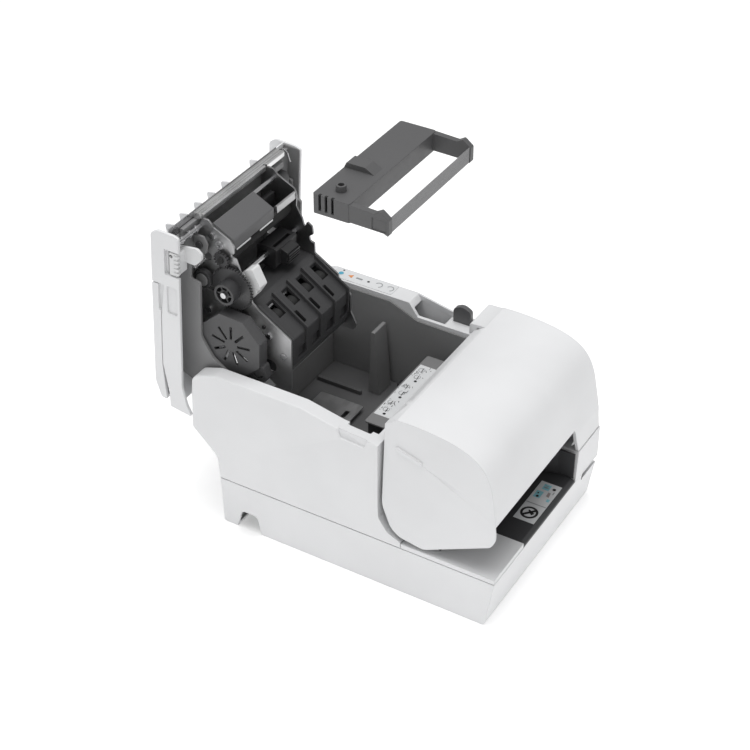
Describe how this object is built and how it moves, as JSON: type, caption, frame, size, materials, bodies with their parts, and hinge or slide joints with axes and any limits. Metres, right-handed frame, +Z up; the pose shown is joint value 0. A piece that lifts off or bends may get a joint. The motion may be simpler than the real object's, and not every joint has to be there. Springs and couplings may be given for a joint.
{
  "type": "receipt printer",
  "caption": "Counter receipt and slip printer with its upper print unit swung open and the ribbon cassette lifted out above its bay.",
  "frame": {"origin": "centre of the base's underside, where it stands on the counter", "axes": "+Z up, front towards -Y, +X to the right seen from the front"},
  "size_m": [0.1868, 0.3106, 0.325],
  "materials": {
    "white_plastic": "fine satin",
    "dark_plastic": "satin",
    "mid_grey_plastic": "satin",
    "black_plastic": "satin",
    "grey_plastic": "satin",
    "steel": "satin",
    "bright_steel": "polished",
    "rubber": "matte",
    "film": "gloss",
    "circuit": "solder mask",
    "chip_black": "moulded",
    "supply_case": "plain",
    "ribbon": "woven"
  },
  "bodies": {
    "case": {"base_tray": "white_plastic", "rubber_feet": "rubber", "main_case": "white_plastic", "front_deck": "white_plastic", "slip_table": "dark_plastic", "right_column": "white_plastic", "slip_guide_wall": "dark_plastic", "slip_frame": "dark_plastic", "bay_floor": "dark_plastic", "bay_liners": "mid_grey_plastic", "slip_path_block": "dark_plastic", "slip_path_plate": "mid_grey_plastic", "cassette_posts": "dark_plastic", "guide_post": "dark_plastic", "bay_plate": "steel", "indicator_film": "film", "cover_catch": "grey_plastic", "latch_striker": "steel", "hinge_pins": "bright_steel", "circuit_board": "circuit", "board_chips": "chip_black", "power_supply": "supply_case", "rear_jacks": "chip_black"},
    "slip_roller": {"slip_feed_roller": "rubber"},
    "front_cover": {"front_cover": "white_plastic"},
    "power_rocker": {"power_rocker": "black_plastic"},
    "upper_unit": {"unit_case": "white_plastic", "unit_frame": "mid_grey_plastic", "lid_hinge_rod": "bright_steel", "fixed_pins": "bright_steel", "left_plate": "steel", "right_plate": "steel", "exit_bar": "bright_steel", "tear_blade": "bright_steel", "tie_rod": "bright_steel", "paper_hook": "bright_steel", "head_cover": "dark_plastic", "head_lip": "black_plastic", "ground_tab": "steel", "thermal_head": "black_plastic", "head_springs": "bright_steel", "motor_housing": "dark_plastic", "feed_motor": "bright_steel", "slip_guide_frame": "dark_plastic", "carriage_shaft": "bright_steel", "carriage_rail": "steel", "ribbon_clip": "white_plastic", "plate_screws": "bright_steel"},
    "roll_cover": {"roll_cover": "white_plastic"},
    "latch_lever": {"latch_lever": "white_plastic"},
    "platen": {"platen_roller": "rubber", "platen_gear": "black_plastic"},
    "drive_disc": {"drive_disc": "black_plastic"},
    "motor_pinion": {"motor_pinion": "black_plastic"},
    "pinch_rollers": {"pinch_rollers": "rubber"},
    "print_carriage": {"print_carriage": "dark_plastic"},
    "ribbon_cassette": {"ribbon_cassette": "grey_plastic", "ink_ribbon": "ribbon"},
    "ribbon_knob": {"ribbon_knob": "grey_plastic"}
  },
  "joints": [
    {"name": "unit_hinge", "type": "hinge", "parent": "case", "child": "upper_unit", "pos_m": [0, 0.114, 0.119], "axis": [1, 0, 0], "range_deg": [0, 87]},
    {"name": "cover_hinge", "type": "hinge", "parent": "case", "child": "front_cover", "pos_m": [0, -0.047, 0.155], "axis": [1, 0, 0], "range_deg": [-62, 0]},
    {"name": "lid_hinge", "type": "hinge", "parent": "upper_unit", "child": "roll_cover", "pos_m": [0, 0.16495, 0.11166], "axis": [1, 0, 0], "range_deg": [-80, 0]},
    {"name": "latch_pivot", "type": "hinge", "parent": "upper_unit", "child": "latch_lever", "pos_m": [0, 0.14627, 0.24837], "axis": [1, 0, 0], "range_deg": [-12, 0], "stiffness_Nm_per_rad": 0.05, "springref_deg": 8.59},
    {"name": "disc_spin", "type": "hinge", "parent": "upper_unit", "child": "drive_disc", "pos_m": [0, 0.11307, 0.21308], "axis": [1, 0, 0], "continuous": true},
    {"name": "platen_spin", "type": "hinge", "parent": "upper_unit", "child": "platen", "pos_m": [0, 0.12135, 0.23646], "axis": [1, 0, 0], "continuous": true},
    {"name": "pinion_spin", "type": "hinge", "parent": "upper_unit", "child": "motor_pinion", "pos_m": [0, 0.11031, 0.18682], "axis": [1, 0, 0], "continuous": true},
    {"name": "pinch_spin", "type": "hinge", "parent": "upper_unit", "child": "pinch_rollers", "pos_m": [0, 0.08655, 0.18415], "axis": [1, 0, 0], "continuous": true},
    {"name": "carriage_slide", "type": "slide", "parent": "upper_unit", "child": "print_carriage", "axis": [1, 0, 0], "range_m": [-0.028, 0.01]},
    {"name": "cassette_lift", "type": "slide", "parent": "case", "child": "ribbon_cassette", "axis": [0, 0, 1], "range_m": [-0.2315, 0]},
    {"name": "knob_spin", "type": "hinge", "parent": "ribbon_cassette", "child": "ribbon_knob", "pos_m": [-0.046, 0.022, 0.322], "axis": [0, 0, 1], "continuous": true},
    {"name": "slip_feed_spin", "type": "hinge", "parent": "case", "child": "slip_roller", "pos_m": [0, -0.1, 0.0575], "axis": [1, 0, 0], "continuous": true},
    {"name": "rocker_tilt", "type": "hinge", "parent": "case", "child": "power_rocker", "pos_m": [0.09175, -0.09725, 0.039], "axis": [0, 0, 1], "range_deg": [-3, 3]}
  ],
  "couplings": [
    {"joint": "disc_spin", "follows": "platen_spin", "ratio": -0.34783},
    {"joint": "pinion_spin", "follows": "platen_spin", "ratio": 0.8}
  ]
}
